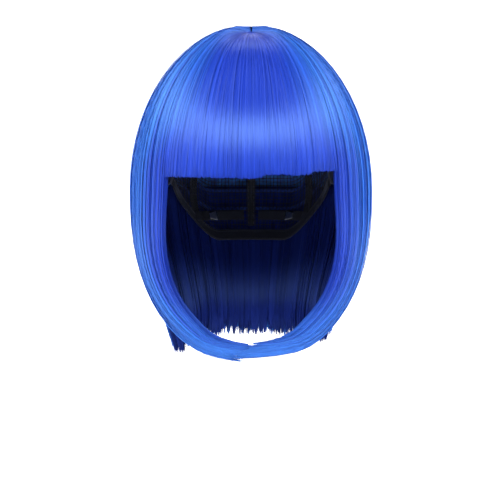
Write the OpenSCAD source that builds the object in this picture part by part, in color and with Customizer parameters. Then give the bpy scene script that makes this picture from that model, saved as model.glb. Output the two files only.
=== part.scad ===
// Costume wig: a full-fringed bob on a machine-made wefted cap.
// The origin is the centre of the wearer's head at the height of the tops of the ears.
// The wearer faces -Y, +Z is up, and angles run from the front (0) towards +X (90) to the back (180).

/* [Head] */
// Width of the head that the cap fits
head_w = 152; // [148:1:156]
// Length of the head, forehead to back
head_l = 188; // [184:1:192]
// Height of the head above the ears
head_h = 106; // [103:1:108]
// Share of its width that the head loses down to the nape
nape_taper = 0.21; // [0.19:0.01:0.23]

/* [Hair] */
// Overall width over the side locks
hair_w = 203; // [198:1:204]
// Height of the hair at the crown, above the origin
hair_top = 120; // [119:1:124]
// Reach of the hair in front of the origin
hair_front = 108; // [107:1:112]
// Reach of the hair behind the origin
hair_back = 116; // [115:1:120]
// Height of the fringe's blunt cut
fringe_cut = -7; // [-12:1:-5]
// Lowest point of the outer strands of the side locks
lock_bottom = -160; // [-163:1:-156]
// Lowest point of the strands that frame the face
lock_front_bottom = -147; // [-150:1:-144]
// Height of the tips of the back hair
back_bottom = -152; // [-155:1:-148]
// Thickness of the outer layer of hair
hair_thick = 7; // [6:0.5:7]
// Thickness of the inner layer of hair
inner_thick = 4; // [3:0.5:4]

/* [Cap] */
// Thickness of the crown net
net_thick = 0.8; // [0.6:0.1:0.8]
// Thickness of the bands along the rim
band_thick = 1.6; // [1.2:0.1:1.6]
// Thickness of the cap ribbons
ribbon_thick = 0.8; // [0.6:0.1:0.8]
// Thickness of a weft track
track_thick = 1.1; // [0.8:0.1:1.2]
// Half width of the parting patch
patch_half_w = 13; // [10:1:15]

/* [Nape straps] */
// Width of the elastic straps
strap_w = 8; // [6:1:8]
// Angle between two loops of the loop tape
loop_step = 10; // [9:1:10]
// Angle of the middle loop, from the centre back
loop_mid = 34; // [33:1:35]

/* [Hidden] */
half_w = head_w / 2;
half_l = head_l / 2;
drop_per_deg = 1.25;        // fall of the head surface for each degree past the ears
taper_z = -65;              // height at which the nape taper is measured
nape_lift = 3.6;            // room inside the nape of the cap for the straps
cap_gap = 0.6;              // the cap stands this far off the head
ribbon_off = 1.9;
track_off = 3.3;
patch_off = 7;              // the parting patch lies over the net, ribbons and wefts
rim_band = 7;               // width of the rim bands, in degrees of latitude
crown_y = -12;              // the point at the crown that the hair fans out from
waist_z = -20;              // below this height the hair hangs past the head
crown_deg = 10;             // latitude at which the hair leaves the parting patch
back_power = 0.92;          // below 1, the back of the hair stands fuller than an ellipse
face_power = 0.85;          // the same for the strands that frame the face, on their way in
side_power = 0.87;          // and for the outer strands of the side locks
face_swell = 4;             // the strands that frame the face swell out by this much first
piece_gap = 2.4;            // clear space between neighbouring curtains of hair
inner_depth = 9.5;          // the inner hair lies this far under the outer surface
back_drift = 28;            // the hair behind the ears drifts this far forward on its way down
strap_z = -45;
arc_y = 24.9;               // centre of the arc that the nape follows, behind the origin
arc_r = 59.6;               // radius of that arc at strap_z
arc_slope = 0.4;            // gain of that radius with height
fringe_edge = 45;           // angle between fringe and side lock
lock_edge = 100;            // angle between side lock and back hair
track_count = 8;
front_track_count = 3;

hair_colour = [0.16, 0.33, 0.85];
dark_hair = [0.07, 0.16, 0.52];
cap_colour = [0.06, 0.07, 0.12];
elastic_colour = [0.10, 0.11, 0.17];
skin_colour = [0.72, 0.66, 0.62];

// ---------- Shared curves ----------

function blend(a, b, t) = a + (b - a) * t;
function clamp(t) = min(1, max(0, t));
function smooth(t) = let (c = clamp(t)) c * c * (3 - 2 * c);

// An angle round the head as an angle from the front, the same on either side
function from_front(phi) = let (a = abs(phi)) a > 180 ? 360 - a : a;

// Share of its girth that the head keeps at a height below the ears
function head_share(z) = 1 - nape_taper * pow(min(z, 0) / taper_z, 2);

// A point off the head: latitude 0 is the top, 90 the ears, and more than 90 goes down the neck
function on_head(phi, lat, off) =
    lat <= 90
    ? [(half_w + off) * sin(lat) * sin(phi), -(half_l + off) * sin(lat) * cos(phi),
       (head_h + off) * cos(lat)]
    : let (z = -(lat - 90) * drop_per_deg, share = head_share(z))
      [(half_w * share + off) * sin(phi), -(half_l * share + off) * cos(phi), z];

// The cap stands further off the head at the nape, where the straps lie inside it
function lift(phi, lat) =
    nape_lift * smooth((lat - 95) / 20) * smooth((from_front(phi) - 112) / 16);
function on_cap(phi, lat, off) = on_head(phi, lat, cap_gap + off + lift(phi, lat));

// Latitude of the cap's rim: over the forehead, round the ears and down to the nape
function rim(phi) = let (a = from_front(phi))
    a < 75 ? blend(65, 88, smooth(a / 75))
    : a < 105 ? blend(88, 98, smooth((a - 75) / 30))
    : blend(98, 143, smooth((a - 105) / 50));

// A point on the hair over the head, at a depth under its outer surface; the back is fuller
function on_hair(phi, lat, depth) =
    let (mid_y = (hair_back - hair_front) / 2, reach = (hair_back + hair_front) / 2 - depth,
         power = blend(1, back_power, smooth((from_front(phi) - 95) / 40)),
         across = pow(sin(lat), power), up = pow(max(0, cos(lat)), power))
    [(hair_w / 2 - depth) * across * sin(phi),
     blend(crown_y, mid_y - reach * cos(phi), across),
     waist_z + (hair_top - waist_z - depth) * up];

// A strand of a side lock below the waist, from 0 at the waist to 1 at the tip under the chin
function on_lock(phi, t, depth) =
    let (turn = 88.5 * t, back = clamp((phi - fringe_edge) / 45),
         power = blend(face_power, side_power, back),
         drop = waist_z - blend(lock_front_bottom, lock_bottom, back),
         thin = depth * blend(1, 0.5, t), start = on_hair(phi, 90, thin),
         end_y = blend(-70, -80, back) + thin, bulge = blend(13, 5, back),
         swell = blend(face_swell, 0, back) * sin(180 * min(1, t / 0.6)))
    [start.x * pow(cos(turn), power) + swell,
     blend(start.y, end_y, smooth(t)) - bulge * sin(180 * t),
     waist_z - (drop - thin) * pow(sin(turn), power)];

// Share of the forward drift that a strand behind the ear gets on its way down
function drift_share(phi) =
    let (a = from_front(phi)) smooth((150 - a) / 50) * smooth((a - 60) / 45);

// A strand of the back hair below the waist, drawn in to the neck with a flick at the tip
function on_back(phi, t, depth, bottom) =
    let (start = on_hair(phi, 90, depth * blend(1, 0.8, t)),
         draw = 1 - 0.3 * smooth(t) + 0.03 * smooth((t - 0.85) / 0.15),
         drift = back_drift * drift_share(phi) * smooth(t))
    [start.x * draw, start.y * draw - drift, blend(waist_z, bottom, t)];

// One whole strand, from the crown (0) to the waist (crown_part) and on to the tip (1)
crown_part = 0.5;
function crown_lat(t) = blend(crown_deg, 90, t / crown_part);
function lower(t) = (t - crown_part) / (1 - crown_part);
function lock_strand(phi, t, depth) =
    t <= crown_part ? on_hair(phi, crown_lat(t), depth) : on_lock(phi, lower(t), depth);
function back_strand(phi, t, depth) =
    t <= crown_part ? on_hair(phi, crown_lat(t), depth)
    : on_back(phi, lower(t), depth, back_bottom);

// Angle that a curtain's edge gives up, so that the gap is even from the narrow crown to the waist
function girth(t) = hair_w / 2 * max(0.1, sin(min(90, crown_lat(t))));
function edge_gap(t) = asin(piece_gap / 2 / girth(t));

// A point on the conical arc that the straps follow inside the nape
function on_nape(turn, z, off) =
    let (r = arc_r + arc_slope * (z - strap_z) + off) [r * sin(turn), arc_y + r * cos(turn), z];

// ---------- Shared shapes ----------

// A closed sheet between two faces of a surface: at(u, v, side), u and v from 0 to 1
module sheet(at, nu, nv) {
    rows = nu + 1;
    cols = nv + 1;
    points = [for (side = [0, 1]) for (i = [0:nu]) for (j = [0:nv]) at(i / nu, j / nv, side)];
    function id(side, i, j) = side * rows * cols + i * cols + j;
    function quad(a, b, c, d) = [[a, b, c], [a, c, d]];
    faces = [
        for (i = [0:nu - 1]) for (j = [0:nv - 1])
            each quad(id(1, i, j), id(1, i + 1, j), id(1, i + 1, j + 1), id(1, i, j + 1)),
        for (i = [0:nu - 1]) for (j = [0:nv - 1])
            each quad(id(0, i, j), id(0, i, j + 1), id(0, i + 1, j + 1), id(0, i + 1, j)),
        for (i = [0:nu - 1]) each quad(id(0, i, 0), id(0, i + 1, 0), id(1, i + 1, 0), id(1, i, 0)),
        for (i = [0:nu - 1])
            each quad(id(1, i, nv), id(1, i + 1, nv), id(0, i + 1, nv), id(0, i, nv)),
        for (j = [0:nv - 1]) each quad(id(1, 0, j), id(1, 0, j + 1), id(0, 0, j + 1), id(0, 0, j)),
        for (j = [0:nv - 1])
            each quad(id(0, nu, j), id(0, nu, j + 1), id(1, nu, j + 1), id(1, nu, j))
    ];
    polyhedron(points, faces, convexity = 6);
}

// A band of the cap between two angles and two latitudes given as functions of the angle
module cap_band(from, to, top, bottom, off, thick, nu, nv) {
    sheet(function (u, v, side)
        let (phi = blend(from, to, u)) on_cap(phi, blend(top(phi), bottom(phi), v), off + thick * side),
        nu, nv);
}

// The same shape on the wearer's other side
module other_side() {
    mirror([1, 0, 0]) children();
}

// ---------- The cap ----------

module crown_net() {
    color(cap_colour)
    cap_band(-179.3, 179.3, function (phi) 5, function (phi) rim(phi) - rim_band - 0.8,
        0, net_thick, 44, 20);
}

module skin_top() {
    color(skin_colour)
    sheet(function (u, v, side)
        let (x = blend(-patch_half_w, patch_half_w, u), y = blend(-46, 0, v),
             off = patch_off + ribbon_thick * side)
        [x, y, (head_h + off) * sqrt(1 - pow(x / (half_w + off), 2) - pow(y / (half_l + off), 2))],
        6, 8);
}

module forehead_band() {
    color(cap_colour)
    cap_band(-47, 47, function (phi) rim(phi) - rim_band, function (phi) rim(phi),
        0, band_thick, 12, 2);
}

module perimeter_band() {
    color(elastic_colour)
    cap_band(48, 117, function (phi) rim(phi) - rim_band, function (phi) rim(phi),
        0, band_thick, 12, 2);
}

module nape_band() {
    color(cap_colour)
    cap_band(118, 242, function (phi) rim(phi) - rim_band, function (phi) rim(phi),
        0, band_thick, 20, 2);
}

// A ribbon down the cap from near the crown to the rim
module ribbon(phi) {
    color(elastic_colour)
    cap_band(phi - 2.5, phi + 2.5, function (a) 20, function (a) rim(phi) - rim_band - 2.5,
        ribbon_off - cap_gap, ribbon_thick, 1, 14);
}

// Row k of the wefts round the back and sides: each row follows the rim, further down
module weft_track(k) {
    share = k / (track_count + 1);
    function row(phi) = blend(20, rim(phi) - rim_band - 2, share);
    color(cap_colour)
    cap_band(52, 308, function (phi) row(phi) - 1.2, function (phi) row(phi) + 1.2,
        track_off - cap_gap, track_thick, 34, 1);
}

module front_track(k) {
    row = blend(24, 54, (k - 1) / (front_track_count - 1));
    color(cap_colour)
    cap_band(-42, 42, function (phi) row - 1.2, function (phi) row + 1.2,
        track_off - cap_gap, track_thick, 12, 1);
}

module size_label() {
    color("white")
    sheet(function (u, v, side)
        let (lat = blend(79, 88, v))
        on_cap(blend(172, 188, u), lat, 0.3 * side - 0.75), 4, 2);
}

// ---------- The ear tabs ----------

// A tongue that hangs from the rim in front of the ear; its sides draw in towards the tip
module ear_tab() {
    color(cap_colour)
    sheet(function (u, v, side)
        let (phi = 65 + (u - 0.5) * (24 - 13 * v * v))
        on_head(phi, rim(phi) + 1.2 + 14 * v, cap_gap + 1.4 * side), 6, 5);
}

module ear_stay() {
    color("silver")
    sheet(function (u, v, side)
        on_head(65 + (u - 0.5) * 3, rim(65) + 2.5 + 10 * v, cap_gap + 1.7 + 0.6 * side), 1, 4);
}

// ---------- The nape straps ----------

tape_off = 2.4;             // the loop tape stands this far off the arc, and the hook lies inside it
hook_off = 0.4;
strap_end = loop_mid - 4.5;

// A tape with three raised loops, sewn to the inside of the nape band
module loop_tape() {
    half = strap_w / 2;
    color(elastic_colour) {
        sheet(function (u, v, side)
            on_nape(blend(loop_mid - 16, loop_mid + 16, u), strap_z + half * (2 * v - 1),
                tape_off + 0.5 * side), 12, 1);
        for (k = [-1, 0, 1])
            sheet(function (u, v, side)
                on_nape(loop_mid + k * loop_step + 2 * u - 1, strap_z + half * (2 * v - 1),
                    tape_off - 0.55 + 0.4 * side - 0.35 * sin(180 * v)), 1, 6);
    }
}

// A flat hook that lies inside the loops
module strap_hook() {
    color("silver")
    sheet(function (u, v, side)
        on_nape(blend(loop_mid - 4, loop_mid + 3, u),
            strap_z + strap_w / 2 * (2 * v - 1) * blend(1, 0.6, u), hook_off + 0.8 * side), 4, 2);
}

module elastic_strap() {
    color(elastic_colour)
    sheet(function (u, v, side)
        on_nape(blend(6, strap_end, u), strap_z + strap_w / 2 * (2 * v - 1),
            hook_off + 0.7 * side), 8, 1);
}

// ---------- The hair ----------

module inner_hair() {
    color(dark_hair)
    sheet(function (u, v, side)
        let (phi = blend(67, 111, u), t = blend(0.36, 0.94, v),
             depth = inner_depth + inner_thick * (1 - side))
        t <= crown_part ? on_hair(phi, crown_lat(t), depth)
        : on_back(phi, lower(t), depth, back_bottom + 12), 6, 14);
}

module nape_hair() {
    color(dark_hair)
    sheet(function (u, v, side)
        let (phi = blend(114, 246, u), depth = inner_depth + inner_thick * (1 - side))
        on_back(phi, blend(0, 0.94, v), depth, back_bottom), 14, 10);
}

module back_hair() {
    color(hair_colour)
    sheet(function (u, v, side)
        let (phi = blend(lock_edge + edge_gap(v), 180 - edge_gap(v), u))
        back_strand(phi, v, hair_thick * (1 - side)), 8, 22);
}

module fringe() {
    // the latitude at which the hair's surface reaches the height of the cut
    cut_lat = acos((fringe_cut - waist_z) / (hair_top - waist_z));
    color(hair_colour)
    sheet(function (u, v, side)
        let (lat = blend(crown_deg, cut_lat, v), t = (lat - crown_deg) / (90 - crown_deg) * crown_part,
             edge = fringe_edge - edge_gap(t), thin = hair_thick * blend(0.9, 0.45, v))
        on_hair(blend(-edge, edge, u), lat, thin * (1 - side)), 14, 12);
}

module side_lock() {
    color(hair_colour)
    sheet(function (u, v, side)
        let (phi = blend(fringe_edge + edge_gap(v), lock_edge - edge_gap(v), u))
        lock_strand(phi, v, hair_thick * (1 - side)), 7, 28);
}

// ---------- Every node ----------

crown_net();
skin_top();
forehead_band();
other_side() perimeter_band();  // perimeter_band_left
perimeter_band();  // perimeter_band_right
nape_band();
ribbon(180);  // ribbon_centre
other_side() ribbon(140);  // ribbon_left_1
other_side() ribbon(102);  // ribbon_left_2
ribbon(140);  // ribbon_right_1
ribbon(102);  // ribbon_right_2
weft_track(1);  // weft_track_1
weft_track(2);  // weft_track_2
weft_track(3);  // weft_track_3
weft_track(4);  // weft_track_4
weft_track(5);  // weft_track_5
weft_track(6);  // weft_track_6
weft_track(7);  // weft_track_7
weft_track(8);  // weft_track_8
front_track(1);  // front_track_1
front_track(2);  // front_track_2
front_track(3);  // front_track_3
other_side() loop_tape();  // loop_tape_left
loop_tape();  // loop_tape_right
other_side() elastic_strap();  // elastic_strap_left
elastic_strap();  // elastic_strap_right
other_side() strap_hook();  // strap_hook_left
strap_hook();  // strap_hook_right
size_label();
other_side() ear_tab();  // ear_tab_left
ear_tab();  // ear_tab_right
other_side() ear_stay();  // ear_stay_left
ear_stay();  // ear_stay_right
other_side() inner_hair();  // inner_hair_left
inner_hair();  // inner_hair_right
nape_hair();
other_side() back_hair();  // back_hair_left
back_hair();  // back_hair_right
fringe();
other_side() side_lock();  // side_lock_left
side_lock();  // side_lock_right
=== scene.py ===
# %% [markdown]
# # A costume wig, combed strand by strand
#
# A wig is two things: a cap that fits the head, and curtains of fibre that are sewn to it.
# The frame gives the size and place of every piece. This scene gives each piece its looks.

import bpy
import numpy as np
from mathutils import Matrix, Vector


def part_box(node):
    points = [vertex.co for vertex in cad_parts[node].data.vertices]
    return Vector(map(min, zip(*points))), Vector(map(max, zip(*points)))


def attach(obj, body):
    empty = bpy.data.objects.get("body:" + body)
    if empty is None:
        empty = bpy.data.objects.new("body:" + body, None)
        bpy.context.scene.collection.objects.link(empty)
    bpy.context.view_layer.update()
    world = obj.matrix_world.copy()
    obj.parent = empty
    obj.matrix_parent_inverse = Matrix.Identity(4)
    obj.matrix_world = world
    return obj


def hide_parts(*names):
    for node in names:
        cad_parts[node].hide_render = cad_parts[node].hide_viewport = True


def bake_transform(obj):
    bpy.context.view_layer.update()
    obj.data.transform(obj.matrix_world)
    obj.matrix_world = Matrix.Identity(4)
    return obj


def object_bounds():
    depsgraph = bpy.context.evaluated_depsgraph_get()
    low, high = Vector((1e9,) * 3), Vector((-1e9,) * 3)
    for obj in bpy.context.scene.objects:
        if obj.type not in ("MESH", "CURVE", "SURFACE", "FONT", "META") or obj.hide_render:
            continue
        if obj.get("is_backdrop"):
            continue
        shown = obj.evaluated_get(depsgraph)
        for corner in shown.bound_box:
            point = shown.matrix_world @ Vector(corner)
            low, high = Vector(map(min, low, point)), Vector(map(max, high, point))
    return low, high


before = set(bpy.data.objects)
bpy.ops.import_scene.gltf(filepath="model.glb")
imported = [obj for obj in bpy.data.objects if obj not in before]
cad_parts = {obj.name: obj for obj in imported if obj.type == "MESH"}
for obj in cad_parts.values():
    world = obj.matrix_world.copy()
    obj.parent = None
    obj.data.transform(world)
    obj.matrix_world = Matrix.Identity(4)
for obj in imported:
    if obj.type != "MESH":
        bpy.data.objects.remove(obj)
bpy.ops.object.select_all(action="DESELECT")
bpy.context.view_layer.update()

# %% [markdown]
# ## Camera
#
# A portrait is taken from far off with a long lens, so that the near parts don't swell. The
# camera stands in front of the wig, a little above it, and looks at a point under its middle.

# %% Place the camera
box_low, box_high = (Vector(corner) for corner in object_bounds())
VIEW_WIDTH = 0.425
CAMERA_DISTANCE = 2.0
CAMERA_RISE = np.radians(3)
SENSOR = 36.0
AIM_ASIDE = -0.001
AIM_ABOVE_TIPS = 0.0885
aim_at = Vector((AIM_ASIDE, 0, box_low.z + AIM_ABOVE_TIPS))
camera_data = bpy.data.cameras.new("portrait")
camera_data.sensor_width = SENSOR
camera_data.lens = SENSOR * CAMERA_DISTANCE / VIEW_WIDTH
camera = bpy.data.objects.new("portrait", camera_data)
bpy.context.scene.collection.objects.link(camera)
camera.location = aim_at + CAMERA_DISTANCE * Vector((0, -np.cos(CAMERA_RISE), np.sin(CAMERA_RISE)))
camera.rotation_euler = (aim_at - camera.location).to_track_quat("-Z", "Y").to_euler()
bpy.context.scene.camera = camera
print("camera lens in millimetres:", round(camera_data.lens, 1))

# %% [markdown]
# ## Light
#
# Shiny fibre shows a bright ring where it mirrors a lamp. A wide, low soft box above the camera
# makes the ring over the forehead, two tall ones at the sides light the locks, and a weak one
# lights the crown. The world fills the shadows in. The camera sees it white, but it gives the
# hair less light than that, for a bright world would wash the blue out.

# %% Hang the soft boxes
ROOM_FILL = 0.32
WIG_MIDDLE = Vector((0, 0, -0.02))


def soft_box(name, place, width, height, watts):
    lamp = bpy.data.lights.new(name, "AREA")
    lamp.shape = "RECTANGLE"
    lamp.size = width
    lamp.size_y = height
    lamp.energy = watts
    holder = bpy.data.objects.new(name, lamp)
    bpy.context.scene.collection.objects.link(holder)
    holder.location = place
    holder.rotation_euler = (WIG_MIDDLE - holder.location).to_track_quat("-Z", "Y").to_euler()
    print(name, "soft box:", width, "by", height, "metres,", watts, "watts")


soft_box("key", (0, -1.47, 0.82), 2.4, 0.38, 40)
soft_box("left side", (-1.25, 0.1, 0.45), 0.8, 1.3, 15)
soft_box("right side", (1.25, 0.1, 0.45), 0.8, 1.3, 15)
soft_box("crown", (0, 0.55, 1.35), 1.2, 0.6, 5)

world = bpy.data.worlds.new("white room")
world.use_nodes = True
sky = world.node_tree.nodes["Background"]
sky.inputs["Color"].default_value = (1, 1, 1, 1)
seen = world.node_tree.nodes.new("ShaderNodeLightPath")
glow = world.node_tree.nodes.new("ShaderNodeMapRange")
glow.inputs["To Min"].default_value = ROOM_FILL
glow.inputs["To Max"].default_value = 1.0
world.node_tree.links.new(seen.outputs["Is Camera Ray"], glow.inputs["Value"])
world.node_tree.links.new(glow.outputs["Result"], sky.inputs["Strength"])
bpy.context.scene.world = world
bpy.context.scene.view_settings.view_transform = "Standard"

# %% [markdown]
# ## Floor
#
# A sweep of white paper curves from the floor up behind the wig, so there is no line between
# them. It starts as a plane, and its far edge is extruded back in a curve and then straight up.
# The paper glows a little, so that it stays as white as the room round it.

# %% Sweep the backdrop
PAPER_HALF = 3.0
PAPER_MIDDLE = -0.8
PAPER_GAP = 0.004
CURVE_STEPS = 12
CURVE_STEP = 0.12
WALL_HEIGHT = 3
bpy.ops.mesh.primitive_plane_add(size=2 * PAPER_HALF, location=(0, PAPER_MIDDLE, box_low.z - PAPER_GAP))
backdrop = bpy.context.object
backdrop.name = "paper_sweep"
bpy.ops.object.mode_set(mode="EDIT")
bpy.ops.mesh.select_mode(type="EDGE")
bpy.ops.mesh.select_all(action="DESELECT")
bpy.ops.object.mode_set(mode="OBJECT")
for edge in backdrop.data.edges:
    edge.select = all(backdrop.data.vertices[v].co.y > 0 for v in edge.vertices)
bpy.ops.object.mode_set(mode="EDIT")
for step in range(CURVE_STEPS):
    turn = np.radians(90 * (step + 0.5) / CURVE_STEPS)
    bpy.ops.mesh.extrude_region_move(
        TRANSFORM_OT_translate={"value": (0, CURVE_STEP * np.cos(turn), CURVE_STEP * np.sin(turn))})
bpy.ops.mesh.extrude_region_move(TRANSFORM_OT_translate={"value": (0, 0, WALL_HEIGHT)})
bpy.ops.object.mode_set(mode="OBJECT")
bpy.ops.object.shade_smooth()
bpy.ops.object.transform_apply(location=True)
paper = bpy.data.materials.new("white paper")
paper.use_nodes = True
paper_skin = paper.node_tree.nodes["Principled BSDF"]
paper_skin.inputs["Base Color"].default_value = (0.85, 0.85, 0.85, 1)
paper_skin.inputs["Roughness"].default_value = 0.9
paper_skin.inputs["Emission Color"].default_value = (1, 1, 1, 1)
paper_seen = paper.node_tree.nodes.new("ShaderNodeLightPath")
paper_glow = paper.node_tree.nodes.new("ShaderNodeMapRange")
paper_glow.inputs["To Min"].default_value = 0.45
paper_glow.inputs["To Max"].default_value = 0.85
paper.node_tree.links.new(paper_seen.outputs["Is Camera Ray"], paper_glow.inputs["Value"])
paper.node_tree.links.new(paper_glow.outputs["Result"], paper_skin.inputs["Emission Strength"])
backdrop.data.materials.append(paper)
backdrop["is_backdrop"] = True
print("paper sweep has", len(backdrop.data.polygons), "faces")

# %% [markdown]
# ## Measures
#
# The shape of the hair is a rounded dome down to the level of the cheeks, its waist, and three
# kinds of strand: the fringe, the side locks and the back hair. `FRINGE_EDGE` and `LOCK_EDGE` are
# the angles at which one gives way to the next, from the front. The boxes of the frame's pieces
# give the rest. At the crown the strands dip a little under the dome, where they leave the skin.

# %% Measure the hair
WAIST = -0.020
CROWN_Y = -0.012
FRINGE_EDGE = 45
LOCK_EDGE = 100
CROWN_LAT = 10
CROWN_DIP = 0.0012
hair_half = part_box("side_lock_right")[1].x
hair_front = -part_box("fringe")[0].y
hair_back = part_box("back_hair_right")[1].y
crown_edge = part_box("back_hair_right")[1].z
hair_top = WAIST + (crown_edge - WAIST) / np.cos(np.radians(CROWN_LAT)) - CROWN_DIP
fringe_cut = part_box("fringe")[0].z
lock_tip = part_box("side_lock_right")[0].z
back_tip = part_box("back_hair_right")[0].z
patch_low, patch_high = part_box("skin_top")
print("hair half width, front, back, top:", hair_half, hair_front, hair_back, hair_top)


def smooth(t):
    t = np.clip(t, 0, 1)
    return t * t * (3 - 2 * t)


def mix(a, b, t):
    return a + (b - a) * t


def points(x, y, z):
    return np.stack(np.broadcast_arrays(x, y, z), axis=-1)


# %% [markdown]
# ## The cap's shape
#
# A cap is sewn over a block that is shaped like a head. A place on it is named by its direction
# from the front, `phi`, and its latitude, `lat`: 0 at the top, 90 at the ears, more on the neck.
# The rim rises over the forehead, passes above the ears and drops to the nape.

# %% Shape the cap
BLOCK = Vector((0.076, 0.094, 0.106))
CAP_GAP = 0.0006
RIM_BAND = 7
NAPE_TAPER = 0.21
TAPER_DEPTH = 0.065
DROP_PER_DEGREE = 0.00125
NAPE_LIFT = 0.0036


def from_front(phi):
    return 360 - abs(phi) if abs(phi) > 180 else abs(phi)


def rim(phi):
    turn = from_front(phi)
    if turn < 75:
        return mix(65, 88, smooth(turn / 75))
    if turn < 105:
        return mix(88, 98, smooth((turn - 75) / 30))
    return mix(98, 143, smooth((turn - 105) / 50))


def on_head(phi, lat, off):
    drop = max(lat - 90, 0) * DROP_PER_DEGREE
    share = 1 - NAPE_TAPER * (drop / TAPER_DEPTH) ** 2
    across = np.sin(np.radians(min(lat, 90)))
    height = (BLOCK.z + off) * np.cos(np.radians(lat)) if lat <= 90 else -drop
    return Vector(((BLOCK.x * share + off) * across * np.sin(np.radians(phi)),
                   -(BLOCK.y * share + off) * across * np.cos(np.radians(phi)), height))


def on_cap(phi, lat, off):
    lift = NAPE_LIFT * smooth((lat - 95) / 20) * smooth((from_front(phi) - 112) / 16)
    return on_head(phi, lat, CAP_GAP + lift + off)


print("rim of the cap, in degrees from the top:", rim(0), "in front,", rim(90), "at the side,",
      rim(180), "behind")

# %% [markdown]
# ## One weave for every cloth
#
# All the cloths share one weave: two sets of ridges that cross, with a little fuzz. It is made
# once as a node group, and the number of ridges each way makes it a net, a ribbed elastic or a
# plain band. The ridges follow the piece's own map, so they bend with the cloth. The colour is
# darker in the grooves between the ridges, which is painted shade, and varies at random with the fuzz.

# %% Weave the cloths
def new_group(name, ins, outs):
    group = bpy.data.node_groups.new(name, "ShaderNodeTree")
    for label, kind, value in ins:
        socket = group.interface.new_socket(name=label, in_out="INPUT", socket_type=kind)
        socket.default_value = value
    for label, kind in outs:
        group.interface.new_socket(name=label, in_out="OUTPUT", socket_type=kind)
    return group, group.nodes.new("NodeGroupInput"), group.nodes.new("NodeGroupOutput")


def maths(group, operation, first, second):
    node = group.nodes.new("ShaderNodeMath")
    node.operation = operation
    for socket, value in zip(node.inputs, (first, second)):
        if isinstance(value, (int, float)):
            socket.default_value = value
        else:
            group.links.new(value, socket)
    return node.outputs["Value"]


def weave():
    group, given, result = new_group(
        "weave",
        [("Color", "NodeSocketColor", (0.02, 0.02, 0.03, 1)),
         ("Ridges Across", "NodeSocketFloat", 60.0),
         ("Ridges Down", "NodeSocketFloat", 10.0),
         ("Fuzz Scale", "NodeSocketFloat", 900.0)],
        [("Color", "NodeSocketColor"), ("Height", "NodeSocketFloat"),
         ("Roughness", "NodeSocketFloat")])
    link = group.links.new
    place = group.nodes.new("ShaderNodeUVMap")
    place.uv_map = "UVMap"
    split = group.nodes.new("ShaderNodeSeparateXYZ")
    link(place.outputs["UV"], split.inputs["Vector"])
    waves = []
    for axis, count in (("X", "Ridges Across"), ("Y", "Ridges Down")):
        turns = maths(group, "MULTIPLY", split.outputs[axis], given.outputs[count])
        waves.append(maths(group, "SINE", maths(group, "MULTIPLY", turns, 2 * np.pi), 0))
    crossed = maths(group, "ADD", waves[0], waves[1])
    where = group.nodes.new("ShaderNodeTexCoord")
    fuzz = group.nodes.new("ShaderNodeTexNoise")
    link(where.outputs["Object"], fuzz.inputs["Vector"])
    link(given.outputs["Fuzz Scale"], fuzz.inputs["Scale"])
    height = maths(group, "MULTIPLY_ADD", crossed, 0.25)
    height.node.inputs[2].default_value = 0.5
    rough = group.nodes.new("ShaderNodeMapRange")
    rough.inputs["To Min"].default_value = 0.55
    rough.inputs["To Max"].default_value = 0.9
    # The colour is scaled by the ridges' height and the fuzz: painted shade in the grooves, and random
    # tone.
    tone_and_painted_shade = group.nodes.new("ShaderNodeMapRange")
    tone_and_painted_shade.inputs["To Min"].default_value = 0.55
    tone_and_painted_shade.inputs["To Max"].default_value = 1.25
    mixed = maths(group, "MULTIPLY", maths(group, "ADD", height, fuzz.outputs["Fac"]), 0.5)
    tinted = group.nodes.new("ShaderNodeMix")
    tinted.data_type = "RGBA"
    tinted.blend_type = "MULTIPLY"
    tinted.inputs["Factor"].default_value = 1
    link(mixed, tone_and_painted_shade.inputs["Value"])
    link(mixed, rough.inputs["Value"])
    link(given.outputs["Color"], tinted.inputs["A"])
    link(tone_and_painted_shade.outputs["Result"], tinted.inputs["B"])
    link(tinted.outputs["Result"], result.inputs["Color"])
    link(mixed, result.inputs["Height"])
    link(rough.outputs["Result"], result.inputs["Roughness"])
    return group


weave_group = weave()
print("the weave group has", len(weave_group.nodes), "nodes")

# %% [markdown]
# ## Cloth, thread and metal
#
# Each material places the weave with its own colour and ridges. Velvet has no ridges, but a pile
# that glows at its edges. The hook and the stay are brushed metal. The cloths are almost black,
# and only the weft tapes and their thread are dyed to match the hair.

# %% Dye the cloths
METAL_ROUGHNESS = 0.32
CLOTH_SHINE = 0.25


def dye_cloth(name, colour, across, down, relief=0.4, depth=0.0003, fuzz=900.0, sheen=0.0, metal=0.0):
    material = bpy.data.materials.new(name)
    material.use_nodes = True
    nodes, link = material.node_tree.nodes, material.node_tree.links.new
    skin = nodes["Principled BSDF"]
    woven = nodes.new("ShaderNodeGroup")
    woven.node_tree = weave_group
    woven.inputs["Color"].default_value = (*colour, 1)
    woven.inputs["Ridges Across"].default_value = across
    woven.inputs["Ridges Down"].default_value = down
    woven.inputs["Fuzz Scale"].default_value = fuzz
    raised = nodes.new("ShaderNodeBump")
    raised.inputs["Strength"].default_value = relief
    raised.inputs["Distance"].default_value = depth
    link(woven.outputs["Height"], raised.inputs["Height"])
    link(woven.outputs["Color"], skin.inputs["Base Color"])
    link(raised.outputs["Normal"], skin.inputs["Normal"])
    if metal:
        skin.inputs["Metallic"].default_value = metal
        skin.inputs["Roughness"].default_value = METAL_ROUGHNESS
    else:
        link(woven.outputs["Roughness"], skin.inputs["Roughness"])
        skin.inputs["Specular IOR Level"].default_value = CLOTH_SHINE
    if sheen:
        skin.inputs["Sheen Weight"].default_value = sheen
        skin.inputs["Sheen Roughness"].default_value = 0.4
        skin.inputs["Sheen Tint"].default_value = (0.5, 0.55, 0.8, 1)
    return material


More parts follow.
